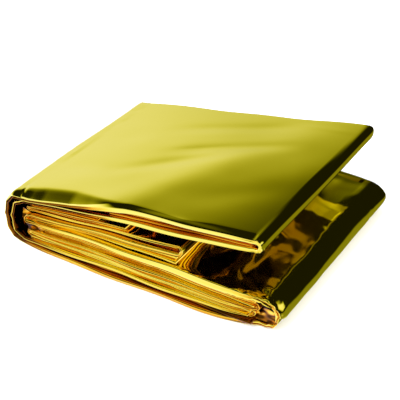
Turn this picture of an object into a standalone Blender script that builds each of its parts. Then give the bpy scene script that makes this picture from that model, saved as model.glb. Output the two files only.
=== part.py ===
"""Emergency foil blanket, folded flat and lying on a surface with its top leaf lifted.

The blanket is one sheet of metallised film. Its width is pleated into a strip, and the strip is
folded back and forth into a block. Here the pleated strip is one solid: a soft slab with round
front and back edges, which runs along a folded section from the inner cut end to the outer one.
Metres, +Z up. X runs from the spine, on the left, to the open side. Y runs from front to back.
The origin is the middle of the base.
"""

import math

import bpy

# Driving dimensions of the folded block
DEPTH = 0.110  # width of the pleated strip, from the front edge to the back edge
WIDTH = 0.134  # from the spine to the open side

# The back of the block is pressed flatter than the front, most of all at the spine.
PRESS_AT_SPINE = 0.35
PRESS_AT_MIDDLE = 0.265
PRESS_AT_OPEN_SIDE = 0.02
RIPPLE = 0.012  # share of the height by which the layers rise and fall together

# Round edges, pulled-in corners and the sway of the edges
EDGE_ROUND = 0.0032
CORNER_REACH = 0.011
SWAY = 0.0005
SWAY_LENGTH = 0.047

# Spacing of the faces
STEP_ALONG = 0.0125
EDGE_STEPS = (0.0, 0.12, 0.42, 1.0)  # shares of EDGE_ROUND, in from each edge
INNER_STATIONS = (0.13, 0.30, 0.50, 0.70, 0.87)  # shares of DEPTH, between the edges

# One row for each pass of the strip, in the order in which the strip runs, at the front of the
# block: the x and height of its middle line, its thickness, and how far its edges lie back.
PASS_COLUMNS = ("name", "x_start", "x_end", "z_start", "z_middle", "z_end",
                "thick_start", "thick_end", "front", "back")
PASSES = (
    ("short_end", 0.0590, 0.0080, 0.0271, 0.0241, 0.0202, 0.0015, 0.0015, 0.0018, 0.0014),
    ("inner_top", 0.0080, 0.0845, 0.0182, 0.0224, 0.0266, 0.0015, 0.0015, 0.0030, 0.0022),
    ("inner_low", 0.0845, 0.0080, 0.0233, 0.0202, 0.0159, 0.0024, 0.0020, 0.0008, 0.0010),
    ("stack_top", 0.0080, 0.1225, 0.0132, 0.0160, 0.0155, 0.0020, 0.0030, 0.0000, 0.0004),
    ("base", 0.1225, 0.0050, 0.0011, 0.0011, 0.0011, 0.0022, 0.0022, -0.0014, 0.0000),
    ("leaf_top", 0.0050, 0.1205, 0.0259, 0.0387, 0.0436, 0.0026, 0.0026, 0.0006, 0.0005),
    ("leaf_low", 0.1205, 0.0060, 0.0389, 0.0320, 0.0225, 0.0024, 0.0020, 0.0010, 0.0013),
    ("stack_1", 0.0060, 0.1190, 0.0039, 0.0050, 0.0044, 0.0018, 0.0018, -0.0008, 0.0009),
    ("stack_2", 0.1190, 0.0095, 0.0068, 0.0078, 0.0064, 0.0018, 0.0018, 0.0004, 0.0015),
    ("stack_3", 0.0095, 0.1215, 0.0088, 0.0106, 0.0091, 0.0018, 0.0018, 0.0000, 0.0007),
    ("stack_4", 0.1215, 0.0130, 0.0115, 0.0131, 0.0109, 0.0016, 0.0016, 0.0014, 0.0018),
)

# One row for each fold between two passes: how far it bulges past them, how square its bulge is,
# the number of its faces, and how far its corners are pulled in at the front and at the back.
FOLD_COLUMNS = ("bulge", "square", "faces", "front_in", "front_out", "back_in", "back_out")
FOLDS = (
    (0.0011, 2.0, 5, 0.0004, 0.0004, 0.0004, 0.0004),
    (0.0017, 2.0, 6, 0.0008, 0.0008, 0.0008, 0.0008),
    (0.0014, 2.0, 6, 0.0006, 0.0006, 0.0006, 0.0006),
    (0.0097, 2.3, 11, 0.0014, 0.0052, 0.0046, 0.0042),
    (0.0092, 2.5, 12, 0.0020, 0.0010, 0.0012, 0.0008),
    (0.0027, 2.1, 8, 0.0010, 0.0014, 0.0010, 0.0012),
    (0.0070, 2.4, 10, 0.0008, 0.0008, 0.0010, 0.0010),
    (0.0013, 2.0, 6, 0.0040, 0.0030, 0.0012, 0.0012),
    (0.0013, 2.0, 6, 0.0006, 0.0006, 0.0006, 0.0006),
    (0.0013, 2.0, 6, 0.0024, 0.0014, 0.0020, 0.0020),
)

FOIL_COLOUR = (0.78, 0.66, 0.08, 1.0)
FOIL_ROUGHNESS = 0.16


def clear_scene():
    for found in list(bpy.data.objects):
        bpy.data.objects.remove(found)


def rows(columns, table):
    return [dict(zip(columns, row)) for row in table]


def through_three(share, first, middle, last):
    """The height at a share of a pass, on the parabola through its ends and middle."""
    return (first * (share - 0.5) * (share - 1) * 2 - middle * share * (share - 1) * 4
            + last * share * (share - 0.5) * 2)


def mix(share, first, last):
    return first + (last - first) * share


def pass_points(row, number):
    """The middle line of one pass, as (x, z, thickness, front inset, back inset)."""
    count = max(4, round(abs(row["x_end"] - row["x_start"]) / STEP_ALONG))
    points = []
    for step in range(count + 1):
        share = step / count
        x = mix(share, row["x_start"], row["x_end"])
        sway = SWAY * math.sin(math.pi * share) * math.sin(math.tau * x / SWAY_LENGTH + number)
        points.append((
            x,
            through_three(share, row["z_start"], row["z_middle"], row["z_end"]),
            mix(share, row["thick_start"], row["thick_end"]),
            row["front"] + sway,
            row["back"] - sway,
        ))
    return points


def fold_points(before, after, fold):
    """The points of a fold between the last point of one pass and the first of the next."""
    outward = 1 if after["x_start"] > WIDTH / 2 else -1
    height = after["z_start"] - before["z_end"]
    points = []
    for step in range(1, fold["faces"]):
        share = step / fold["faces"]
        angle = math.pi * (share - 0.5)
        out = abs(math.cos(angle)) ** (2 / fold["square"])
        up = math.copysign(abs(math.sin(angle)) ** (2 / fold["square"]), angle)
        points.append((
            mix(share, before["x_end"], after["x_start"]) + outward * fold["bulge"] * out,
            before["z_end"] + height * (0.5 + 0.5 * up),
            mix(share, before["thick_end"], after["thick_start"]),
            mix(share, before["front"] + fold["front_in"], after["front"] + fold["front_out"]),
            mix(share, before["back"] + fold["back_in"], after["back"] + fold["back_out"]),
        ))
    return points


def pull_corners(points, fold, from_start):
    """Draws a pass's edges in towards the corner of the fold that it runs into."""
    corner = points[0] if from_start else points[-1]
    front, back = ("front_out", "back_out") if from_start else ("front_in", "back_in")
    pulled = []
    for x, z, thick, front_inset, back_inset in points:
        near = math.exp(-abs(x - corner[0]) / CORNER_REACH)
        pulled.append((x, z, thick, front_inset + fold[front] * near,
                       back_inset + fold[back] * near))
    return pulled


def section():
    """The whole folded line at the front of the block, from one cut end to the other."""
    passes, folds = rows(PASS_COLUMNS, PASSES), rows(FOLD_COLUMNS, FOLDS)
    line = []
    for number, row in enumerate(passes):
        points = pass_points(row, number)
        if number > 0:
            points = pull_corners(points, folds[number - 1], True)
        if number < len(folds):
            points = pull_corners(points, folds[number], False)
        line += points
        if number < len(folds):
            line += fold_points(row, passes[number + 1], folds[number])
    return line


def normals(line):
    """The upright unit normal of the line at each point, on its left as the strip runs."""
    found = []
    for number in range(len(line)):
        x0, z0 = line[max(number - 1, 0)][:2]
        x1, z1 = line[min(number + 1, len(line) - 1)][:2]
        length = math.hypot(x1 - x0, z1 - z0)
        found.append((-(z1 - z0) / length, (x1 - x0) / length))
    return found


def pressed(x, y):
    """The share of the front height that the block keeps at this place in plan."""
    across = min(max(x / WIDTH, 0.0), 1.0)
    back = min(max(y / DEPTH, 0.0), 1.0)
    press = through_three(across, PRESS_AT_SPINE, PRESS_AT_MIDDLE, PRESS_AT_OPEN_SIDE)
    ripple = math.sin(7.0 * across + 3.0 * back) * math.sin(5.0 * back + 2.0 * across)
    return 1 - press * back + RIPPLE * ripple


def stations():
    """The places across the strip, as (share of DEPTH, inset from the edge, side of it)."""
    front = [(0.0, EDGE_ROUND * share, 1) for share in EDGE_STEPS]
    inner = [(share, 0.0, 0) for share in INNER_STATIONS]
    back = [(1.0, EDGE_ROUND * share, -1) for share in reversed(EDGE_STEPS)]
    return front + inner + back


def rounded(inset, side):
    """The share of the thickness that is left near a round edge."""
    if side == 0:
        return 1.0
    return math.sqrt(1 - (1 - inset / EDGE_ROUND) ** 2)


def ring(point, normal):
    """The outline of the strip across one point of the folded line."""
    x, z, thick, front_inset, back_inset = point
    low_side, high_side = [], []
    for share, inset, side in stations():
        y = mix(share, front_inset, DEPTH - back_inset) + side * inset
        half = thick / 2 * rounded(inset, side)
        for sign, out in ((-1, low_side), (1, high_side)):
            if sign == 1 and half == 0:
                continue
            place_x = x + sign * half * normal[0]
            place_z = (z + sign * half * normal[1]) * pressed(place_x, y)
            out.append((place_x, y, max(place_z, 0.0)))
    return low_side + high_side[::-1]


def centred(points):
    """Moves the points so that the origin is the middle of their base."""
    spans = [(min(values), max(values)) for values in zip(*points)]
    shift_x, shift_y = (sum(span) / 2 for span in spans[:2])
    return [(x - shift_x, y - shift_y, z) for x, y, z in points]


def blanket_mesh():
    line = section()
    rings = [ring(point, normal) for point, normal in zip(line, normals(line))]
    around = len(rings[0])
    points = [place for one in rings for place in one]
    faces = []
    for number in range(len(rings) - 1):
        for corner in range(around):
            following = (corner + 1) % around
            first, second = number * around, (number + 1) * around
            faces.append((first + corner, first + following, second + following,
                          second + corner))
    faces += end_faces(0, around, False)
    faces += end_faces((len(rings) - 1) * around, around, True)
    mesh = bpy.data.meshes.new("foil_blanket")
    mesh.from_pydata(centred(points), [], faces)
    mesh.validate()
    return mesh


def end_faces(start, around, outward):
    """Closes a cut end of the strip with a row of narrow faces between its two sides."""
    faces = []
    last = around // 2
    for step in range(last):
        low, low_next = start + step, start + step + 1
        high = start + (around - step) % around
        high_next = start + around - step - 1
        corners = [low, low_next, high_next, high]
        corners = [c for n, c in enumerate(corners) if c not in corners[:n]]
        if len(corners) > 2:
            faces.append(tuple(corners if outward else corners[::-1]))
    return faces


def foil_material():
    material = bpy.data.materials.new("gold_foil")
    material.use_nodes = True
    shader = material.node_tree.nodes["Principled BSDF"]
    shader.inputs["Base Color"].default_value = FOIL_COLOUR
    shader.inputs["Metallic"].default_value = 1.0
    shader.inputs["Roughness"].default_value = FOIL_ROUGHNESS
    return material


def build():
    clear_scene()
    blanket = bpy.data.objects.new("foil_blanket", blanket_mesh())
    blanket.data.materials.append(foil_material())
    blanket.data.shade_smooth()
    blanket.data.set_sharp_from_angle(angle=math.radians(40))
    bpy.context.scene.collection.objects.link(blanket)


build()
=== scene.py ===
"""Looks of the folded foil blanket: the crisp film with its plies, creases and crumpled corners.

The folded line is the one of the solid, in metres, drawn here with finer points. Everything else
is worked out from it: the rounded lips along the front and back edges, the soft streaks of the
leaf, the crinkles under it, and the thin plies that show between the passes.
"""

import math

import bpy
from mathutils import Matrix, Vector, noise


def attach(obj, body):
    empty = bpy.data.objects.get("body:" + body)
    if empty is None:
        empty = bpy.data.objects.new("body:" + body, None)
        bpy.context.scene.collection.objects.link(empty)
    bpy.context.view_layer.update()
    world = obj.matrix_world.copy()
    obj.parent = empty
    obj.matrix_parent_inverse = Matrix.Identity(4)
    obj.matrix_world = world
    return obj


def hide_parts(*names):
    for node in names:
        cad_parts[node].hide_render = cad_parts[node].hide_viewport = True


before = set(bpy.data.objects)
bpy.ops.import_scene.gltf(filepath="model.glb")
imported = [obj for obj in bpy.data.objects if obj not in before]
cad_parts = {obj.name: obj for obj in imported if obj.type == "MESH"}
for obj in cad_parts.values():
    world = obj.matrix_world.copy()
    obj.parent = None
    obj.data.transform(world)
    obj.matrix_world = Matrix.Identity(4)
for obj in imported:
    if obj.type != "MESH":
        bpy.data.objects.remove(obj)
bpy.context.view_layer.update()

MM = 0.001

# The folded line, as in the solid: see PASSES
DEPTH = 0.110
WIDTH = 0.134
PRESS_AT_SPINE = 0.35
PRESS_AT_MIDDLE = 0.265
PRESS_AT_OPEN_SIDE = 0.02
RIPPLE = 0.012
CORNER_REACH = 0.011
SWAY = 0.0005
SWAY_LENGTH = 0.047

# At the back the corners of the folds are drawn in over less of the passes.
BACK_CORNER_REACH = 0.005

# From the section's zero and the front edge to the middle of the solid's base
ORIGIN = Vector((0.06401, 0.05428, 0.0))

# The camera, fitted to the photograph, with its target measured as the section is
CAMERA_LENS_MM = 126.0
CAMERA_SENSOR_MM = 36.0
CAMERA_AZIMUTH = math.radians(30.58)
CAMERA_ELEVATION = math.radians(34.9)
CAMERA_DISTANCE = 0.6528
CAMERA_TARGET = Vector((0.0566, 0.0683, 0.0015))

# One row for each pass of the strip, in the order in which the strip runs, at the front of the
# block. The first ten columns are the solid's. Then come the spacing of the rings, the painted
# shade of its outer face, its inner face and its edges, from 0 in the open to 1 where it is
# enclosed, which darkens the film's gold to orange and near black, how rounded its edges are,
# from 0 as a pinched pair of plies to 1 as one soft edge, how much they swell, which side of them
# lies in a groove and gets painted shade, from -1 for the inner one to 1 for the outer, and what
# its outer face shows.
PASS_COLUMNS = ("name", "x_start", "x_end", "z_start", "z_middle", "z_end",
                "thick_start", "thick_end", "front", "back",
                "step", "outer_shut", "inner_shut", "edge_shut", "lip", "swell",
                "dark_side", "face")
PASSES = (
    ("short_end", 0.0590, 0.0080, 0.0271, 0.0241, 0.0202, 0.0015, 0.0015, 0.0018, 0.0014,
     0.0026, 0.60, 0.60, 0.24, 0.3, 0.0, 0, "plain"),
    ("inner_top", 0.0080, 0.0845, 0.0182, 0.0224, 0.0266, 0.0015, 0.0015, 0.0030, 0.0022,
     0.0026, 0.60, 0.60, 0.05, 0.7, 0.0003, 0, "plain"),
    ("inner_low", 0.0845, 0.0080, 0.0233, 0.0202, 0.0159, 0.0024, 0.0020, 0.0008, 0.0010,
     0.0026, 0.50, 0.60, 0.12, 0.6, 0.0, 0, "plain"),
    ("stack_top", 0.0080, 0.1225, 0.0132, 0.0160, 0.0155, 0.0020, 0.0030, 0.0000, 0.0004,
     0.0014, 0.22, 0.50, 0.00, 0.9, 0.0016, 0, "top"),
    ("base", 0.1225, 0.0050, 0.0011, 0.0011, 0.0011, 0.0022, 0.0022, -0.0014, 0.0000,
     0.0028, 0.00, 0.60, 0.48, 0.9, 0.0, 0, "plain"),
    ("leaf_top", 0.0050, 0.1205, 0.0259, 0.0387, 0.0436, 0.0026, 0.0026, 0.0006, 0.0005,
     0.0014, 0.00, 0.60, 0.00, 1.0, 0.0011, -1, "leaf"),
    ("leaf_low", 0.1205, 0.0060, 0.0389, 0.0320, 0.0225, 0.0024, 0.0020, 0.0010, 0.0013,
     0.0022, 0.20, 0.60, 0.00, 0.9, 0.0002, 1, "under"),
    ("stack_1", 0.0060, 0.1190, 0.0039, 0.0050, 0.0044, 0.0018, 0.0018, -0.0008, 0.0009,
     0.0026, 0.60, 0.60, 0.05, 0.7, 0.0002, 0, "plain"),
    ("stack_2", 0.1190, 0.0095, 0.0068, 0.0078, 0.0064, 0.0018, 0.0018, 0.0004, 0.0015,
     0.0026, 0.60, 0.60, 0.05, 0.7, 0.0002, 0, "plain"),
    ("stack_3", 0.0095, 0.1215, 0.0088, 0.0106, 0.0091, 0.0018, 0.0018, 0.0000, 0.0007,
     0.0026, 0.60, 0.60, 0.14, 0.5, 0.0, 0, "plain"),
    ("stack_4", 0.1215, 0.0130, 0.0115, 0.0131, 0.0109, 0.0016, 0.0016, 0.0014, 0.0018,
     0.0026, 0.60, 0.60, 0.26, 0.4, 0.0, 0, "plain"),
)

# One row for each fold between two passes, much as in the solid, with more faces. Bevel is how far
# its back edge is drawn in at its middle. Facets is the number of flats that a crushed fold is
# broken into, or 0. The last three are as for a pass.
FOLD_COLUMNS = ("bulge", "square", "faces", "front_in", "front_out", "back_in", "back_out",
                "bevel", "facets", "lip", "edge_shut", "dark_side")
FOLDS = (
    (0.0011, 2.0, 8, 0.0004, 0.0004, 0.0004, 0.0004, 0.0000, 0, 0.3, 0.25, 0),
    (0.0017, 2.0, 10, 0.0008, 0.0008, 0.0008, 0.0008, 0.0000, 0, 0.5, 0.10, 0),
    (0.0014, 2.0, 10, 0.0006, 0.0006, 0.0006, 0.0006, 0.0000, 0, 0.3, 0.40, 0),
    (0.0097, 2.3, 28, 0.0014, 0.0052, 0.0008, 0.0008, 0.0012, 0, 0.3, 0.10, 0),
    (0.0092, 2.5, 36, 0.0020, 0.0010, 0.0012, 0.0008, 0.0000, 6, 0.0, 0.00, -1),
    (0.0027, 3.0, 22, 0.0010, 0.0014, 0.0003, 0.0004, 0.0000, 0, 0.7, 0.00, 0),
    (0.0070, 2.4, 30, 0.0008, 0.0008, 0.0010, 0.0010, 0.0000, 4, 0.0, 0.20, 1),
    (0.0013, 2.0, 8, 0.0040, 0.0030, 0.0012, 0.0012, 0.0000, 0, 0.3, 0.40, 0),
    (0.0013, 2.0, 8, 0.0006, 0.0006, 0.0006, 0.0006, 0.0000, 0, 0.3, 0.30, 0),
    (0.0013, 2.0, 8, 0.0024, 0.0014, 0.0020, 0.0020, 0.0000, 0, 0.3, 0.40, 0),
)

# The end of the leaf rises a little towards its fold.
LEAF_RISE = 0.0003
LEAF_RISE_FROM = 0.080
LEAF_RISE_TO = 0.1186

# The top of the stack leans down towards its open side, rises along its depth and then drops to
# its back, where it gets thinner.
STACK_LEAN = 0.0012
STACK_LEAN_FROM = 0.084
STACK_LEAN_TO = 0.1225
STACK_LEAN_FRONT = (0.002, 0.020)
STACK_RISE = 0.0015
STACK_RISE_FROM = 0.034
STACK_DROP = 0.0050
STACK_DROP_FROM = 0.070
STACK_DROP_TO = 0.128
STACK_THINNER = 0.25

# The heights between which such changes of the stack's top or of the leaf fade in, on their folds
STACK_FADE = (0.004, 0.014)
SHIFT_FADE = (0.009, 0.014)
LEAF_FADE = (0.010, 0.025)

# The outline of one edge of the strip, from its outer face to its inner one: how far each point
# lies in from the edge, in millimetres, its height as a share of half the thickness, how much it
# goes with the sway of its lip, and how deep in a groove it is, which deepens its painted shade up
# to full. The two outlines have the same number of points.
PINCHED_EDGE = (
    (4.6, 1.00, 0.0, 0.0), (3.6, 0.985, 0.0, 0.0), (2.7, 0.955, 0.0, 0.0), (1.9, 0.90, 0.1, 0.0),
    (1.2, 0.83, 0.3, 0.0), (0.6, 0.74, 0.6, 0.0), (0.2, 0.64, 0.9, 0.0), (0.0, 0.50, 1.0, 0.0),
    (0.05, 0.36, 1.0, 0.4), (0.5, 0.22, 0.9, 0.9), (2.2, 0.03, 0.5, 1.0), (0.6, -0.16, -0.5, 0.9),
    (0.1, -0.30, -0.9, 0.4), (0.0, -0.46, -1.0, 0.0), (0.05, -0.62, -1.0, 0.0),
    (0.30, -0.78, -0.6, 0.0), (0.80, -0.90, -0.3, 0.0), (1.8, -0.98, 0.0, 0.0),
    (4.0, -1.00, 0.0, 0.0),
)
SOFT_EDGE = (
    (5.0, 1.00, 0.0, 0.0), (4.5, 0.985, 0.0, 0.0), (4.1, 0.93, 0.0, 0.0), (3.4, 0.84, 0.1, 0.0),
    (2.6, 0.73, 0.2, 0.0), (1.8, 0.61, 0.4, 0.0), (1.1, 0.50, 0.6, 0.0), (0.55, 0.40, 0.8, 0.0),
    (0.22, 0.29, 1.0, 0.0), (0.08, 0.17, 1.0, 0.0), (0.02, 0.04, 1.0, 0.0), (0.0, -0.10, 0.6, 0.0),
    (0.0, -0.28, 0.2, 0.0), (0.03, -0.48, -0.4, 0.0), (0.12, -0.66, -0.7, 0.0),
    (0.34, -0.82, -0.6, 0.0), (0.85, -0.93, -0.3, 0.0), (1.8, -0.99, 0.0, 0.0),
    (4.0, -1.00, 0.0, 0.0),
)
LIP_SWAY = 0.00035
LIP_LENGTH = 0.021

# How far in from the edge the swelling reaches, its share on two outer faces, and where along the
# stack's top it starts and is full
SWELL_REACH = 0.0022
SWELL_UP = {"leaf": 0.0, "top": 0.4}
SWELL_TOP = (0.045, 0.095)

# Streaks of painted shade and painted reflection along the edges, and the share of the edges'
# painted shade that back edges have
SHADE_STREAK_LENGTH = 0.026
SHADE_STREAK_DEPTH = 0.30
SHADE_STREAK_FULL = 0.3
BACK_EDGE_PAINTED_SHADE = 0.3

# Along the leaf, in millimetres: the reach of its front edge's bevel, as a share, how soft that
# edge is, and how far it droops. Then the slope of the droop, and how much of it thins the edge.
LEAF_ROUND = ((0, 0.10), (36, 0.10), (48, 0.24), (54, 0.43), (61, 0.75),
              (73, 0.72), (87, 0.60), (100, 1.0), (125, 1.0))
LEAF_SOFT = ((0, 0.0), (38, 0.15), (56, 1.0), (125, 1.0))
LEAF_DROOP = ((0, 1.2), (4, 1.9), (9, 2.6), (16, 3.0), (32, 3.0), (42, 2.2), (52, 1.0), (60, 0.2),
              (66, 0.0), (125, 0.0))
LEAF_DROOP_SLOPE = 0.52
LEAF_DROOP_THINNER = 0.22
LEAF_DROOP_SOFTNESS = 0.0005

# The bevel of its back edge, and the number of points of an edge that are bevelled all along it
LEAF_BACK_ROUND = 0.25
LEAF_BEVEL_POINTS = 7

# The other passes' edges are bevelled less: by these shares of the reach and of the height
STACK_BEVEL_REACH = 0.35
STACK_BEVEL_HEIGHT = 0.55

# The painted shade of the dark side of an edge, in its groove, and the shares of half the
# thickness between which it fades in and out
GROOVE_PAINTED_SHADE = 0.92
GROOVE_IN = (0.05, 0.35)
GROOVE_OUT = (0.95, 1.0)

# Points across the strip, between its two edges
OUTER_STATIONS = 72
INNER_STATIONS = 14

# Soft troughs of the leaf, or ridges where the depth is below zero: start and end in plan, from
# the spine and from the front, in millimetres, then half width and depth
TROUGHS = (
    (58, -4, 118, -4, 16.0, 0.55),
    (50, -6, 67, 36, 12.0, -0.50),
    (67, 36, 100, 92, 13.0, -0.42),
    (72, 42, 122, 64, 24.0, -0.60),
    (40, 37, 74, 62, 5.0, 0.30),
    (52, 60, 92, 77, 5.0, 0.38),
    (42, 83, 84, 97, 5.0, 0.26),
    (50, 61, 70, 70, 0.9, 0.045),
    (12, 30, 36, 34, 8.0, 0.20),
    (86, 22, 112, 40, 8.0, 0.14),
    (92, 101, 116, 99, 1.6, -0.05),
    (26, 66, 52, 60, 9.0, -0.16),
)

# Ridges of the stack's top, in the same way
TOP_RIDGES = (
    (86, 14, 93, 46, 6.5, -1.6),
    (105, 10, 112, 40, 9.5, -1.9),
    (60, 30, 96, 52, 9.0, -0.8),
    (119, 22, 102, 52, 1.9, -0.26),
    (121, 36, 108, 62, 1.6, -0.22),
    (116, 12, 101, 40, 1.6, -0.20),
    (123, 56, 112, 78, 1.5, -0.16),
)

# Dents of its round open side, in the same way
SIDE_DENTS = (
    (116, 9.0, 134, 5.0, 1.7, 1.1),
    (127, 88.0, 133, 91.5, 1.0, 0.5),
)

# The fine waves of the leaf: their length along and across, and their height
LEAF_WAVE = (0.034, 0.021, 0.00012)

# Facets of crushed film: size across and height, in millimetres, coarse and then fine
TOP_FACETS = ((15.0, 0.90), (6.0, 0.22))
UNDER_FACETS = ((22.0, 0.60),)
FOLD_FACETS = ((16.0, 0.16), (5.0, 0.06))
CORNER_FACETS = ((5.5, 0.75), (2.6, 0.25))
CORNER_SHARE = 0.6
CORNER_DEPTH = (0.003, 0.014)
FACETS_DOWN = 0.0002

# Towards its open side the stack's top is calmer, by this share
CALM_SHARE = 0.75
CALM_FROM_TO = (0.106, 0.114)

# Where the light comes in from the open side, and from the back with its share, the painted shade
# of the stack's top and of the leaf's underside fades
LIT_OPEN_SIDE = (0.112, 0.122)
LIT_BACK = (0.085, 0.105)
LIT_BACK_SHARE = 0.7

# Where the round open side of the stack starts, in millimetres: from the front, and the shift,
# which comes in and goes out between these places along the block
BAND_SHIFT = ((0, 2.8), (3, 2.6), (9, 0.4), (16, -0.7), (26, -1.0), (38, 0.5), (47, -0.2),
              (50, 0.5), (55, -1.6), (58, -0.9), (62, -2.6), (66, -1.4), (69, -2.0), (73, -0.4),
              (77, -1.2), (82, 0.2), (88, -0.4), (93, 0.8), (100, 0.6), (110, 0.0))
BAND_IN = (0.108, 0.120)
BAND_OUT = (0.125, 0.132)

# Thin plies between the passes: the pass below and above, where they start and end along the
# block, how many there are, how far they lie back, and their painted shade, from 0 to near black
# at 1. Millimetres.
PLY_COLUMNS = ("below", "above", "x_from", "x_to", "count", "inset", "shut")
PLIES = (
    ("base", "stack_1", 5.0, 121.0, 1, 1.2, 0.95),
    ("stack_1", "stack_2", 8.0, 119.0, 1, 0.9, 0.18),
    ("stack_2", "stack_3", 9.0, 120.0, 1, 1.0, 0.20),
    ("stack_3", "stack_4", 12.0, 121.0, 1, 0.9, 0.24),
    ("stack_4", "stack_top", 10.0, 122.0, 1, 1.1, 0.40),
    ("stack_top", "inner_low", 8.0, 84.0, 2, 1.4, 0.34),
    ("inner_low", "inner_top", 8.0, 83.0, 1, 2.6, 0.34),
    ("inner_top", "short_end", 8.0, 58.0, 1, 2.4, 0.34),
    ("short_end", "leaf_low", 8.0, 44.0, 1, 1.2, 0.26),
    ("leaf_low", "leaf_top", 8.0, 50.0, 1, 7.0, 0.78),
    ("leaf_low", "leaf_top", 50.0, 119.0, 3, 2.0, 0.72),
)
PLY_STEP = 0.0018
PLY_FILL = 0.84
PLY_THINNEST = 0.00022
PLY_SWAY = 0.0007
PLY_SWAY_LENGTH = 0.017
PLY_FINE_SWAY = 0.3 * PLY_SWAY
PLY_FINE_LENGTH = 0.0045
PLY_DEEPER = 0.0005
PLY_STATIONS = 10
# Streaks in the plies' painted shade
PLY_SHADE_STREAK = 0.30
PLY_SHADE_STREAK_LENGTH = 0.02

# Crushed corners: their middle, how far they reach, and the size and depth of their creases, in
# millimetres
CRUSHED = (
    (128.0, 2.0, 9.0, 13.0, 3.4, 1.9),
    (122.5, 1.0, 41.0, 5.0, 2.4, 1.2),
    (115.0, 0.0, 15.5, 9.0, 2.4, 0.9),
    (4.0, 1.0, 14.0, 14.0, 4.0, 0.9),
)
CRUSHED_CORE = 0.3  # share of the reach within which a corner is crushed in full
CRUSHED_MIDDLE = 0.2

# Crumpled film that closes a corner: its four corners as (along, back, up) from the front of the
# spine, in millimetres, and the seed of its facets
CRUMPLES = (
    ("open_side", (117.5, 4.8, 2.2), (130.2, 4.6, 3.0), (130.8, 3.6, 9.8), (118.0, 4.4, 12.6), 3),
    ("spine", (3.8, 3.0, 5.5), (17.5, 1.8, 11.2), (18.0, 1.8, 12.6), (4.4, 3.0, 18.5), 8),
)
CRUMPLE_CELLS = 18
CRUMPLE_THICK = 0.0003
# Their painted shade, near black, with streaks of painted shade
CRUMPLE_PAINTED_SHADE = 0.88
CRUMPLE_SHADE_STREAK = 0.8
CRUMPLE_SHADE_STREAK_SIZE = (0.0045, 0.0017)
CRUMPLE_SHARP = math.radians(12)

# The seed of the noise vectors, which bend the facets and crush the corners
NOISE_SEED = 1


def rows(columns, table):
    return [dict(zip(columns, row)) for row in table]


def mix(share, first, last):
    return first + (last - first) * share


def smooth(value, low, high):
    """0 below low, 1 above high, and an even slope between."""
    share = min(max((value - low) / (high - low), 0.0), 1.0)
    return share * share * (3 - 2 * share)


def from_table(value, table):
    """The second number of a two-column table, at a value of its first."""
    for (low, first), (high, last) in zip(table, table[1:]):
        if value <= high:
            return mix(max(value - low, 0) / (high - low), first, last)
    return table[-1][1]


def through_three(share, first, middle, last):
    """The height at a share of a pass, on the parabola through its ends and middle."""
    return (first * (share - 0.5) * (share - 1) * 2 - middle * share * (share - 1) * 4
            + last * share * (share - 0.5) * 2)


def pass_height(row, x):
    """The height of a pass's middle line, and its thickness, at a place along the block."""
    share = (x - row["x_start"]) / (row["x_end"] - row["x_start"])
    z = through_three(share, row["z_start"], row["z_middle"], row["z_end"])
    if row["name"] == "leaf_top":
        z += LEAF_RISE * smooth(x, LEAF_RISE_FROM, LEAF_RISE_TO)
    return z, mix(share, row["thick_start"], row["thick_end"])


def pass_points(row, number):
    """The rings of one pass: place, thickness, insets and what its sides show."""
    count = max(4, round(abs(row["x_end"] - row["x_start"]) / row["step"]))
    points = []
    for step in range(count + 1):
        share = step / count
        x = mix(share, row["x_start"], row["x_end"])
        z, thick = pass_height(row, x)
        soft = from_table(x / MM, LEAF_SOFT) if row["face"] in ("leaf", "under") else 1.0
        swell = row["swell"] * soft
        if row["face"] == "top":
            swell *= smooth(x, *SWELL_TOP)
        sway = SWAY * math.sin(math.pi * share) * math.sin(math.tau * x / SWAY_LENGTH + number)
        points.append({
            "x": x,
            "z": z,
            "thick": thick,
            "front": row["front"] + sway,
            "back": row["back"] - sway,
            "outer_shut": row["outer_shut"],
            "inner_shut": row["inner_shut"],
            "edge_shut": row["edge_shut"],
            "dark_side": row["dark_side"] * (1 - soft if row["face"] in ("leaf", "under") else 1),
            "lip": row["lip"] * soft,
            "swell": swell,
            "face": row["face"],
        })
    return points


def flattened(angle, facets):
    """The reach of a polygon with this many sides to a half turn, as a share of its circle's."""
    if facets == 0:
        return 1.0
    side = math.pi / facets
    return math.cos(side / 2) / math.cos(angle % side - side / 2)


def fold_points(start, end, fold, number):
    """The rings of the fold between the last ring of one pass and the first of the next."""
    outward = 1 if end["x"] > WIDTH / 2 else -1
    height = end["z"] - start["z"]
    points = []
    for step in range(1, fold["faces"]):
        share = step / fold["faces"]
        angle = math.pi * (share - 0.5)
        reach = flattened(angle + math.pi, fold["facets"])
        out = reach * abs(math.cos(angle)) ** (2 / fold["square"])
        up = math.copysign(abs(math.sin(angle)) ** (2 / fold["square"]), angle) * reach
        point = {
            "x": mix(share, start["x"], end["x"]) + outward * fold["bulge"] * out,
            "z": start["z"] + height * (0.5 + 0.5 * up),
            "edge_shut": fold["edge_shut"],
            "dark_side": fold["dark_side"],
            "lip": fold["lip"],
            "swell": 0.0,
            "face": "fold_%d" % number,
        }
        for name in ("thick", "outer_shut", "inner_shut", "front", "back"):
            point[name] = mix(share, start[name], end[name])
        point["back"] += fold["bevel"] * out
        points.append(point)
    return points


def pull_corners(points, fold, from_start):
    """Draws a pass's edges in towards the corner of the fold that it runs into."""
    corner = points[0]["x"] if from_start else points[-1]["x"]
    front, back = ("front_out", "back_out") if from_start else ("front_in", "back_in")
    for point in points:
        away = abs(point["x"] - corner)
        near = math.exp(-away / CORNER_REACH)
        point["front"] += fold[front] * near
        point["back"] += fold[back] * math.exp(-away / BACK_CORNER_REACH)
        point["lip"] = mix(near, point["lip"], fold["lip"])
        point["edge_shut"] = mix(near, point["edge_shut"], fold["edge_shut"])
        point["dark_side"] = mix(near, point["dark_side"], fold["dark_side"])
        point["swell"] *= 1 - near


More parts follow.
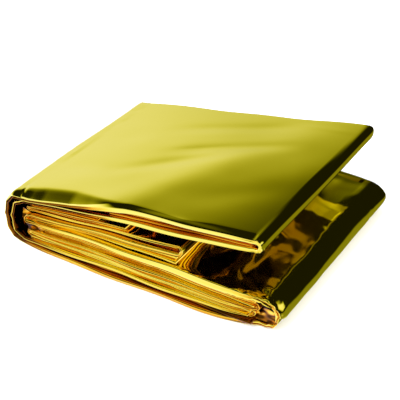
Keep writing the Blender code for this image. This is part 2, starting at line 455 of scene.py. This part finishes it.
def section():
    """All the rings of the folded line, from one cut end to the other."""
    folds = rows(FOLD_COLUMNS, FOLDS)
    runs = [pass_points(row, number) for number, row in enumerate(rows(PASS_COLUMNS, PASSES))]
    for number, fold in enumerate(folds):
        pull_corners(runs[number], fold, False)
        pull_corners(runs[number + 1], fold, True)
    line = list(runs[0])
    for number, fold in enumerate(folds):
        line += fold_points(runs[number][-1], runs[number + 1][0], fold, number)
        line += runs[number + 1]
    return line


def add_normals_and_lengths(line):
    """Gives each ring its upright normal and its distance along the strip."""
    run = 0.0
    for number, point in enumerate(line):
        before, after = line[max(number - 1, 0)], line[min(number + 1, len(line) - 1)]
        length = math.hypot(after["x"] - before["x"], after["z"] - before["z"])
        point["normal"] = (-(after["z"] - before["z"]) / length,
                           (after["x"] - before["x"]) / length)
        if number > 0:
            run += math.hypot(point["x"] - before["x"], point["z"] - before["z"])
        point["run"] = run
    return run


def pressed(x, y):
    """The share of the front height that the block keeps at this place in plan."""
    across = min(max(x / WIDTH, 0.0), 1.0)
    back = min(max(y / DEPTH, 0.0), 1.0)
    press = through_three(across, PRESS_AT_SPINE, PRESS_AT_MIDDLE, PRESS_AT_OPEN_SIDE)
    ripple = math.sin(7.0 * across + 3.0 * back) * math.sin(5.0 * back + 2.0 * across)
    return 1 - press * back + RIPPLE * ripple


def troughs(x, y, table):
    """How far an upper face sinks at this place in plan."""
    sunk = 0.0
    for x0, y0, x1, y1, width, depth in table:
        along = Vector((x1 - x0, y1 - y0))
        place = Vector((x / MM - x0, y / MM - y0))
        share = place.dot(along) / along.length_squared
        side = (place - along * share).length / width
        taper = smooth(share, -0.35, 0.25) * (1 - smooth(share, 0.75, 1.35))
        sunk += depth * MM * math.exp(-side * side) * taper
    return sunk


def cell_height(column, row, seed):
    return noise.cell(Vector((column + 0.5, row + 0.5, seed + 0.5)))


def facets(u, v, seed, table):
    """Flat three-cornered facets with bent edges, as in crushed film, around a height of 0."""
    height = 0.0
    for size, depth in table:
        size *= MM
        bend = noise.noise_vector(Vector((u / size / 2.1, v / size / 2.1, seed)))
        a = (0.86 * u + 0.5 * v) / size + 0.75 * bend.x
        b = (0.86 * v - 0.5 * u) / size + 0.75 * bend.y
        column, row = math.floor(a), math.floor(b)
        a, b = a - column, b - row
        if a + b < 1:
            near = cell_height(column, row, seed)
            found = (near + (cell_height(column + 1, row, seed) - near) * a
                     + (cell_height(column, row + 1, seed) - near) * b)
        else:
            far = cell_height(column + 1, row + 1, seed)
            found = (far + (cell_height(column, row + 1, seed) - far) * (1 - a)
                     + (cell_height(column + 1, row, seed) - far) * (1 - b))
        height += depth * MM * found
        seed += 3
    return height


def lift(point, x, y):
    """How far this point of the outer face stands off its smooth place."""
    face = point["face"]
    inside = smooth(y, 0.0005, 0.006) * (1 - smooth(y, DEPTH - 0.010, DEPTH - 0.001))
    if face == "leaf":
        along, across, height = LEAF_WAVE
        wave = height * noise.noise(Vector((x / along, y / across, 4.0)))
        return -troughs(x, y, TROUGHS) * smooth(y, 0.0, 0.004) + wave
    if face == "top":
        calm = 1 - CALM_SHARE * smooth(x, *CALM_FROM_TO)
        crushed = facets(x, y, 1, TOP_FACETS) - FACETS_DOWN - troughs(x, y, TOP_RIDGES)
        return crushed * inside * calm
    if face == "under":
        return (facets(x, y, 11, UNDER_FACETS) - FACETS_DOWN) * inside
    if face in ("fold_3", "fold_4"):
        run = point["run"]
        corner = (1 - smooth(y, *CORNER_DEPTH)) * smooth(y, 0.001, 0.004)
        dents = troughs(x, y, SIDE_DENTS) if face == "fold_3" else 0.0
        return (facets(run, y, 21, FOLD_FACETS) * inside - dents
                + CORNER_SHARE * facets(run, y, 31, CORNER_FACETS) * corner)
    return 0.0


def stack_fall(point, x, y):
    """How far the top of the stack lies below its straight line at this place."""
    if point["face"] not in ("top", "fold_3"):
        return 0.0
    fall = STACK_LEAN * smooth(x, STACK_LEAN_FROM, STACK_LEAN_TO) * smooth(y, *STACK_LEAN_FRONT)
    fall -= STACK_RISE * smooth(y, STACK_RISE_FROM, STACK_DROP_FROM)
    fall += STACK_DROP * smooth(y, STACK_DROP_FROM, STACK_DROP_TO)
    return fall * smooth(point["z"], *STACK_FADE)


def painted_shade_at(point, x, y):
    """The painted shade of a point of the outer face: less towards the open side and the back,
    where light comes in.
    """
    if point["face"] in ("top", "under", "fold_3"):
        lit = max(smooth(x, *LIT_OPEN_SIDE), LIT_BACK_SHARE * smooth(y, *LIT_BACK))
        return point["outer_shut"] * (1 - lit)
    return point["outer_shut"]


def shift(point, x, y):
    """How far the start of the stack's round open side lies out of its straight line."""
    if point["face"] not in ("top", "fold_3"):
        return 0.0
    reach = smooth(x, *BAND_IN) * (1 - smooth(x, *BAND_OUT))
    return MM * from_table(y / MM, BAND_SHIFT) * reach * smooth(point["z"], *SHIFT_FADE)


def crush(place):
    """How far a point near one of the crushed corners is pushed out of its smooth place."""
    push = Vector((0.0, 0.0, 0.0))
    for x, y, z, reach, size, depth in CRUSHED:
        away = (place - Vector((x, y, z)) * MM).length
        near = 1 - smooth(away, CRUSHED_CORE * reach * MM, reach * MM)
        if near > 0:
            found = noise.noise_vector(place / (size * MM))
            push += Vector([abs(part) - CRUSHED_MIDDLE for part in found]) * (near * depth * MM)
    return push


def lip_outline(point, front):
    """The outline of one edge: inset in metres, share of half the thickness, sway and groove."""
    size, depth = STACK_BEVEL_REACH, STACK_BEVEL_HEIGHT
    leaf = point["face"] == "leaf"
    if leaf:
        size = from_table(point["x"] / MM, LEAF_ROUND) if front else LEAF_BACK_ROUND
        depth = 1.0
    outline = []
    for number, (pinched, soft) in enumerate(zip(PINCHED_EDGE, SOFT_EDGE)):
        lip = 1.0 if leaf and number < LEAF_BEVEL_POINTS else point["lip"]
        inset, share, sway, groove = (mix(lip, a, b) for a, b in zip(pinched, soft))
        if share > 0:
            inset *= mix(lip, 1.0, size)
            share = 1 - (1 - share) * mix(lip, 1.0, depth)
        outline.append((inset * MM, share, sway, groove))
    return outline


def droop(point, y):
    """How far the front edge of the leaf hangs down at this place."""
    if point["face"] not in ("leaf", "fold_4"):
        return 0.0
    most = MM * from_table(point["x"] / MM, LEAF_DROOP) * smooth(point["z"], *LEAF_FADE)
    left = most - LEAF_DROOP_SLOPE * (y - point["front"])
    return 0.5 * (left + math.hypot(left, min(LEAF_DROOP_SOFTNESS, most)))


def ring(point):
    """The outline of the strip at one ring, as (place, painted shade)."""
    half = point["thick"] / 2
    sway_now = LIP_SWAY * noise.noise(Vector((point["run"] / LIP_LENGTH, 0.5, 0.5)))
    # Streaks of painted shade and painted reflection along the edges
    shade_streak = SHADE_STREAK_DEPTH * noise.noise(Vector((point["run"] / SHADE_STREAK_LENGTH, 3.5, 1.5)))
    edge_shut = point["edge_shut"] + shade_streak * smooth(point["edge_shut"], 0.0, SHADE_STREAK_FULL)
    front, back = point["front"], DEPTH - point["back"]
    corners = []

    def add(y, share, swell, shut):
        reach = share * (half + swell)
        x = point["x"] + reach * point["normal"][0]
        z = (point["z"] + reach * point["normal"][1]) * pressed(x, y)
        z -= droop(point, y) * (1 + LEAF_DROOP_THINNER * share)
        z -= stack_fall(point, x, y) * (1 - STACK_THINNER * (1 - share))
        if share > 0:
            off = lift(point, x, y) * share
            x += off * point["normal"][0] + shift(point, x, y) * share
            z += off * point["normal"][1]
        place = Vector((x, y, z))
        place += crush(place)
        corners.append((Vector((place.x, place.y, max(place.z, 0.0))), shut))

    def add_lip(outline, edge, inward, edge_shut):
        for inset, share, sway, groove in outline:
            face_painted_shade = point["outer_shut"] if share > 0 else point["inner_shut"]
            shut = mix(smooth(abs(share), 0.7, 1.0), edge_shut, face_painted_shade)
            swell = point["swell"] * math.exp(-(inset / SWELL_REACH) ** 2)
            if share > 0:
                swell *= SWELL_UP.get(point["face"], 1.0)
            # The side of an edge that lies in a groove gets painted shade
            if share * point["dark_side"] > 0:
                dark = abs(point["dark_side"]) * smooth(abs(share), *GROOVE_IN)
                shut = mix(dark * (1 - smooth(abs(share), *GROOVE_OUT)), shut, GROOVE_PAINTED_SHADE)
            add(edge + inward * (inset + sway * sway_now), share, swell, mix(groove, shut, 1.0))

    front_lip, back_lip = lip_outline(point, True), lip_outline(point, False)
    for step in range(1, INNER_STATIONS):
        y = mix(step / INNER_STATIONS, front + front_lip[-1][0], back - back_lip[-1][0])
        add(y, -1.0, 0.0, point["inner_shut"])
    add_lip(reversed(back_lip), back, -1, BACK_EDGE_PAINTED_SHADE * edge_shut)
    for step in range(1, OUTER_STATIONS):
        y = mix(step / OUTER_STATIONS, back - back_lip[0][0], front + front_lip[0][0])
        add(y, 1.0, 0.0, painted_shade_at(point, point["x"], y))
    add_lip(front_lip, front, 1, edge_shut)
    return corners


def thin_ring(point):
    """The outline of a thin ply at one ring, as (place, painted shade)."""
    half = point["thick"] / 2
    corners = []
    front, back = point["front"], DEPTH - point["back"]
    across = [(front + half * (1 - share), lift_share)
              for share, lift_share in ((0.0, 1.0), (0.7, 0.72), (1.0, 0.0))]
    low = [(y, -share) for y, share in reversed(across[:-1])]
    low += [(mix(step / PLY_STATIONS, front, back), -1.0) for step in range(1, PLY_STATIONS)]
    low += [(front + back - y, -share) for y, share in across[:-1]]
    high = [(front + back - across[-1][0], 0.0)]
    high += [(front + back - y, share) for y, share in reversed(across[:-1])]
    high += [(mix(step / PLY_STATIONS, back, front), 1.0) for step in range(1, PLY_STATIONS)]
    high += across
    for y, share in low + high:
        z = (point["z"] + share * half) * pressed(point["x"], y)
        corners.append((Vector((point["x"], y, z)), point["shut"]))
    return corners


def ply_lines():
    """The rings of every thin ply, one list for each, and the length of them all."""
    passes = {row["name"]: row for row in rows(PASS_COLUMNS, PASSES)}
    lines, length = [], 0.0
    for gap in rows(PLY_COLUMNS, PLIES):
        below, above = passes[gap["below"]], passes[gap["above"]]
        x_from, x_to = gap["x_from"] * MM, gap["x_to"] * MM
        count = round((x_to - x_from) / PLY_STEP)
        for number in range(gap["count"]):
            points = []
            seed = len(lines) * 1.7
            for step in range(count + 1):
                x = mix(step / count, x_from, x_to)
                z_below, thick_below = pass_height(below, x)
                z_above, thick_above = pass_height(above, x)
                floor = z_below + thick_below / 2
                room = max(z_above - thick_above / 2 - floor, 0.0)
                layer = room / gap["count"]
                sway = PLY_SWAY * noise.noise(Vector((x / PLY_SWAY_LENGTH, seed, 0.3)))
                fine = PLY_FINE_SWAY * noise.noise(Vector((x / PLY_FINE_LENGTH, seed, 7.3)))
                shade_streak = PLY_SHADE_STREAK * noise.noise(Vector((x / PLY_SHADE_STREAK_LENGTH, seed, 9.1)))
                inset = gap["inset"] * MM + PLY_DEEPER * (number % 2) + sway + fine
                points.append({
                    "x": x,
                    "z": floor + layer * (number + 0.5),
                    "thick": max(layer * PLY_FILL, PLY_THINNEST),
                    "front": max(below["front"], above["front"]) + inset,
                    "back": max(below["back"], above["back"]) + inset,
                    "shut": gap["shut"] + shade_streak,
                })
            lines.append(points)
            length += x_to - x_from
    return lines, length


def tube_faces(rings, start):
    """The faces of one closed run of rings, numbered from start."""
    around = len(rings[0])
    faces = []
    for number in range(len(rings) - 1):
        first, second = start + number * around, start + (number + 1) * around
        for corner in range(around):
            following = (corner + 1) % around
            faces.append((first + corner, first + following, second + following,
                          second + corner))
    last = start + (len(rings) - 1) * around
    faces.append(tuple(range(start + around - 1, start - 1, -1)))
    faces.append(tuple(range(last, last + around)))
    return faces


def film_mesh(name, points, faces, painted_shades):
    """A mesh of the film, moved to the solid's origin, with the painted shade of each point."""
    mesh = bpy.data.meshes.new(name)
    mesh.from_pydata([place - ORIGIN for place in points], [], faces)
    # Painted shade, kept as an attribute that the material turns into darker, oranger gold
    attribute = mesh.attributes.new("shut", "FLOAT", "POINT")
    attribute.data.foreach_set("value", painted_shades)
    mesh.shade_smooth()
    return mesh


def strip_mesh(line):
    rings = [ring(point) for point in line]
    points = [place for one in rings for place, shut in one]
    painted_shades = [shut for one in rings for place, shut in one]
    return film_mesh("folded_foil", points, tube_faces(rings, 0), painted_shades)


def plies_mesh(lines):
    points, faces, painted_shades = [], [], []
    for line in lines:
        rings = [thin_ring(point) for point in line]
        faces += tube_faces(rings, len(points))
        points += [place for one in rings for place, shut in one]
        painted_shades += [shut for one in rings for place, shut in one]
    return film_mesh("inner_plies", points, faces, painted_shades)


def crumples_mesh():
    """The crumpled film in the corners, each a closed sheet with hard facets and a dark painted
    shade.
    """
    points, faces, painted_shades = [], [], []
    for name, low_left, low_right, high_right, high_left, seed in CRUMPLES:
        low_left, low_right = Vector(low_left) * MM, Vector(low_right) * MM
        high_left, high_right = Vector(high_left) * MM, Vector(high_right) * MM
        out = (low_right - low_left).cross(high_left - low_left).normalized()
        start = len(points)
        count = CRUMPLE_CELLS + 1
        for sheet in (0, 1):
            for row in range(count):
                for column in range(count):
                    across, up = column / CRUMPLE_CELLS, row / CRUMPLE_CELLS
                    low, high = low_left.lerp(low_right, across), high_left.lerp(high_right, across)
                    place = low.lerp(high, up)
                    off = facets(place.x, place.z, seed, CORNER_FACETS)
                    points.append(place + out * (off - sheet * CRUMPLE_THICK))
                    wide, tall = CRUMPLE_SHADE_STREAK_SIZE
                    shade_streak = noise.noise(Vector((place.x / wide, place.z / tall, seed)))
                    painted_shades.append(CRUMPLE_PAINTED_SHADE + CRUMPLE_SHADE_STREAK * shade_streak)
        for row in range(CRUMPLE_CELLS):
            for column in range(CRUMPLE_CELLS):
                corner = start + row * count + column
                front = (corner, corner + 1, corner + count + 1, corner + count)
                faces.append(front)
                faces.append(tuple(number + count * count for number in reversed(front)))
        rim = [start + column for column in range(count)]
        rim += [start + row * count + CRUMPLE_CELLS for row in range(1, count)]
        rim += [start + CRUMPLE_CELLS * count + column for column in range(count - 2, -1, -1)]
        rim += [start + row * count for row in range(count - 2, 0, -1)]
        for first, second in zip(rim, rim[1:] + rim[:1]):
            faces.append((second, first, first + count * count, second + count * count))
    mesh = film_mesh("crumples", points, faces, painted_shades)
    mesh.set_sharp_from_angle(angle=CRUMPLE_SHARP)
    return mesh


def node(tree, kind, **values):
    """A new node with its settings, or its inputs by name."""
    made = tree.nodes.new(kind)
    for name, value in values.items():
        if name in made.inputs:
            made.inputs[name].default_value = value
        else:
            setattr(made, name, value)
    return made


def stops(tree, source, table):
    """A colour ramp with a row for each stop, as an output."""
    made = node(tree, "ShaderNodeValToRGB")
    elements = made.color_ramp.elements
    for number, (position, colour) in enumerate(table):
        element = elements[number] if number < 2 else elements.new(position)
        element.position = position
        element.color = colour
    tree.links.new(source, made.inputs["Fac"])
    return made.outputs["Color"]


# The film's colour: its own gold where it lies open, then painted shade and painted reflection of
# itself, orange to near black, where it is enclosed
GOLD_AND_PAINTED_SHADE = (
    (0.00, (0.98, 0.86, 0.092, 1.0)),
    (0.30, (0.98, 0.75, 0.045, 1.0)),
    (0.60, (0.82, 0.41, 0.012, 1.0)),
    (0.85, (0.34, 0.12, 0.002, 1.0)),
    (1.00, (0.06, 0.02, 0.0, 1.0)),
)
HAZE_SCALE = 60.0
HAZE_ROUGHNESS = (0.05, 0.10)


def foil_material():
    material = bpy.data.materials.new("gold_foil")
    material.use_nodes = True
    tree = material.node_tree
    shader = tree.nodes["Principled BSDF"]
    shader.inputs["Metallic"].default_value = 1.0

    # The painted shade attribute darkens the base colour: painted shade and painted
    # inter-reflection
    shut = node(tree, "ShaderNodeAttribute", attribute_name="shut")
    colour = stops(tree, shut.outputs["Fac"], GOLD_AND_PAINTED_SHADE)
    tree.links.new(colour, shader.inputs["Base Color"])

    place = node(tree, "ShaderNodeTexCoord")
    haze = node(tree, "ShaderNodeTexNoise", Scale=HAZE_SCALE, Detail=3.0)
    rough = node(tree, "ShaderNodeMapRange")
    rough.inputs["To Min"].default_value, rough.inputs["To Max"].default_value = HAZE_ROUGHNESS
    tree.links.new(place.outputs["Object"], haze.inputs["Vector"])
    tree.links.new(haze.outputs["Fac"], rough.inputs["Value"])
    tree.links.new(rough.outputs["Result"], shader.inputs["Roughness"])
    return material


def show(mesh, material, name):
    """A piece of the film on the one body, with the film's material."""
    piece = bpy.data.objects.new(name, mesh)
    bpy.context.scene.collection.objects.link(piece)
    mesh.materials.append(material)
    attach(piece, "root")
    return piece


def add_blanket():
    noise.seed_set(NOISE_SEED)
    material = foil_material()
    line = section()
    length = add_normals_and_lengths(line)
    folded = show(strip_mesh(line), material, "folded_foil")
    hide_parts("foil_blanket")
    lines, plies_length = ply_lines()
    plies = show(plies_mesh(lines), material, "inner_plies")
    corners = show(crumples_mesh(), material, "crumpled_corners")


def add_camera():
    back = Vector((math.sin(CAMERA_AZIMUTH) * math.cos(CAMERA_ELEVATION),
                   -math.cos(CAMERA_AZIMUTH) * math.cos(CAMERA_ELEVATION),
                   math.sin(CAMERA_ELEVATION)))
    data = bpy.data.cameras.new("camera")
    data.lens = CAMERA_LENS_MM
    data.sensor_width = CAMERA_SENSOR_MM
    camera = bpy.data.objects.new("camera", data)
    camera.location = CAMERA_TARGET - ORIGIN + back * CAMERA_DISTANCE
    camera.rotation_mode = "QUATERNION"
    camera.rotation_quaternion = (-back).to_track_quat("-Z", "Y")
    bpy.context.scene.collection.objects.link(camera)
    bpy.context.scene.camera = camera


# The floor lies just under the base, so that the two faces don't meet.
FLOOR_REACH = 4.0
FLOOR_DOWN = 0.0002
FLOOR_COLOUR = (0.86, 0.86, 0.86, 1.0)


def add_floor():
    mesh = bpy.data.meshes.new("floor")
    mesh.from_pydata([(x * FLOOR_REACH, y * FLOOR_REACH, 0)
                      for x, y in ((-1, -1), (1, -1), (1, 1), (-1, 1))], [], [(0, 1, 2, 3)])
    floor = bpy.data.objects.new("floor", mesh)
    floor.location.z = -FLOOR_DOWN
    bpy.context.scene.collection.objects.link(floor)
    material = bpy.data.materials.new("floor")
    material.use_nodes = True
    shader = material.node_tree.nodes["Principled BSDF"]
    shader.inputs["Base Color"].default_value = FLOOR_COLOUR
    shader.inputs["Roughness"].default_value = 0.9
    shader.inputs["Specular IOR Level"].default_value = 0.0
    mesh.materials.append(material)
    floor.visible_glossy = False


# Soft lamps that light the floor: place and power, and their size in metres
LAMPS = (
    ("front_lamp", (-0.35, -0.85, 1.05), 24.0, 0.9),
    ("right_lamp", (0.95, 0.15, 1.10), 9.0, 0.9),
)


def add_lamps():
    """Soft area lights that point at the blanket. The film shows the panels, not the lamps."""
    for name, location, power, size in LAMPS:
        data = bpy.data.lights.new(name, "AREA")
        data.shape = "DISK"
        data.size = size
        data.energy = power
        lamp = bpy.data.objects.new(name, data)
        lamp.location = location
        lamp.rotation_mode = "QUATERNION"
        lamp.rotation_quaternion = (-Vector(location)).to_track_quat("-Z", "Y")
        lamp.visible_glossy = False
        bpy.context.scene.collection.objects.link(lamp)


# Bright panels of the studio that the film mirrors. Angles in degrees: where a panel stands,
# clockwise from the back, its half width where it is full and where it ends, the height up to
# which it is full and at which it ends, and its light.
PANELS = (
    ("front_right", 135.0, 20.0, 55.0, 15.0, 48.0, 0.8),
    ("front_left", -140.0, 30.0, 65.0, 22.0, 42.0, 1.2),
    ("right", 96.0, 25.0, 46.0, 25.0, 55.0, 1.2),
)

# The large panel at the back left, and its light at some heights, in degrees
LARGE_PANEL = ("back_left", -75.0, 33.0, 62.0)
LARGE_PANEL_LIGHT = ((0, 1.0), (8, 1.0), (12, 0.95), (15, 0.88), (20, 0.70), (25, 0.42),
                     (30, 0.24), (35, 0.10), (38, 0.01), (50, 0.0))

# The disc overhead, out to where it is full and where it ends, and its light. Then the light of
# the dark room, of the world on the floor and of the backdrop, and the strength of them all.
ABOVE_FULL = math.cos(math.radians(10))
ABOVE_ENDS = math.cos(math.radians(24))
ABOVE_LIGHT = 0.9
ROOM_LIGHT = 0.012
AMBIENT_LIGHT = 1.585
BACKDROP_LIGHT = 1.22
STUDIO_STRENGTH = 0.82

# The floor that the film mirrors: its light at the front left and at the back right, and the
# direction of the latter, clockwise from the back, and the cosines to it where it starts and is
# full. Near the horizon it is as dark as the room: the sines of the heights where its light
# starts and is full.
FLOOR_BRIGHT = 1.35
FLOOR_DIM = 0.28
FLOOR_DIM_AZIMUTH = 25.0
FLOOR_DIM_SIDE_FROM = 0.38
FLOOR_DIM_SIDE_FULL = 0.70
FLOOR_DIM_FROM = -0.22
FLOOR_DIM_FULL = -0.42

# Dim light is yellower: its blue part is the light to this power.
BLUE_POWER = 3.2


def ramp(tree, source, start, end, high, low=0.0):
    """A soft step of a value from start to end, as an output that goes from low to high."""
    made = node(tree, "ShaderNodeMapRange", interpolation_type="SMOOTHSTEP")
    rising = start < end
    made.inputs["From Min"].default_value = min(start, end)
    made.inputs["From Max"].default_value = max(start, end)
    made.inputs["To Min"].default_value = low if rising else high
    made.inputs["To Max"].default_value = high if rising else low
    tree.links.new(source, made.inputs["Value"])
    return made.outputs["Result"]


def combined(tree, operation, first, second):
    made = node(tree, "ShaderNodeMath", operation=operation)
    tree.links.new(first, made.inputs[0])
    tree.links.new(second, made.inputs[1])
    return made.outputs[0]


def heading(tree, place, azimuth):
    """How far a direction agrees with one clockwise from the back, as an output."""
    towards = node(tree, "ShaderNodeVectorMath", operation="DOT_PRODUCT")
    azimuth = math.radians(azimuth)
    towards.inputs[1].default_value = (math.sin(azimuth), math.cos(azimuth), 0.0)
    tree.links.new(place, towards.inputs[0])
    return towards.outputs["Value"]


def studio_light(tree, place, height):
    """The light of every direction above the horizon: the panels and the one overhead."""
    light = ramp(tree, height, ABOVE_ENDS, ABOVE_FULL, ABOVE_LIGHT)
    for name, azimuth, inner, outer, full, ends, strength in PANELS:
        side = ramp(tree, heading(tree, place, azimuth), math.cos(math.radians(outer)),
                    math.cos(math.radians(inner)), strength)
        low = ramp(tree, height, math.sin(math.radians(ends)), math.sin(math.radians(full)), 1.0)
        light = combined(tree, "ADD", light, combined(tree, "MULTIPLY", side, low))
    name, azimuth, inner, outer = LARGE_PANEL
    side = ramp(tree, heading(tree, place, azimuth), math.cos(math.radians(outer)),
                math.cos(math.radians(inner)), 1.0)
    table = [(math.sin(math.radians(angle)), (level, level, level, 1.0))
             for angle, level in LARGE_PANEL_LIGHT]
    low = stops(tree, height, table)
    return combined(tree, "ADD", light, combined(tree, "MULTIPLY", side, low))


def chosen_by(tree, factor, first, second):
    """The second of two values where the factor is 1. Each is a number or an output."""
    made = node(tree, "ShaderNodeMix", data_type="FLOAT")
    tree.links.new(factor, made.inputs[0])
    for number, value in ((2, first), (3, second)):
        if isinstance(value, float):
            made.inputs[number].default_value = value
        else:
            tree.links.new(value, made.inputs[number])
    return made.outputs[0]


def add_world():
    """A dark studio with bright panels, an even light on the floor and a white backdrop."""
    world = bpy.data.worlds.new("studio")
    bpy.context.scene.world = world
    world.use_nodes = True
    tree = world.node_tree
    tree.nodes.clear()
    place = node(tree, "ShaderNodeTexCoord").outputs["Generated"]
    split = node(tree, "ShaderNodeSeparateXYZ")
    tree.links.new(place, split.inputs[0])
    room = node(tree, "ShaderNodeMath", operation="ADD")
    room.inputs[1].default_value = ROOM_LIGHT
    tree.links.new(studio_light(tree, place, split.outputs["Z"]), room.inputs[0])

    dimmer = ramp(tree, heading(tree, place, FLOOR_DIM_AZIMUTH), FLOOR_DIM_SIDE_FROM,
                  FLOOR_DIM_SIDE_FULL, 1.0)
    dim = ramp(tree, split.outputs["Z"], FLOOR_DIM_FROM, FLOOR_DIM_FULL, FLOOR_DIM, ROOM_LIGHT)
    floor = chosen_by(tree, dimmer, FLOOR_BRIGHT, dim)
    below = node(tree, "ShaderNodeMath", operation="LESS_THAN")
    tree.links.new(split.outputs["Z"], below.inputs[0])
    below.inputs[1].default_value = 0.0
    mirrored = chosen_by(tree, below.outputs[0], room.outputs[0], floor)

    blue = node(tree, "ShaderNodeMath", operation="POWER")
    tree.links.new(mirrored, blue.inputs[0])
    blue.inputs[1].default_value = BLUE_POWER
    path = node(tree, "ShaderNodeLightPath")
    colour = node(tree, "ShaderNodeCombineColor")
    for channel, value in (("Red", mirrored), ("Green", mirrored), ("Blue", blue.outputs[0])):
        value = chosen_by(tree, path.outputs["Is Diffuse Ray"], value, AMBIENT_LIGHT)
        value = chosen_by(tree, path.outputs["Is Camera Ray"], value, BACKDROP_LIGHT)
        tree.links.new(value, colour.inputs[channel])
    background = node(tree, "ShaderNodeBackground", Strength=STUDIO_STRENGTH)
    out = node(tree, "ShaderNodeOutputWorld")
    tree.links.new(colour.outputs[0], background.inputs["Color"])
    tree.links.new(background.outputs[0], out.inputs["Surface"])


add_camera()
add_blanket()
add_floor()
add_lamps()
add_world()
bpy.context.scene.view_settings.view_transform = "Standard"
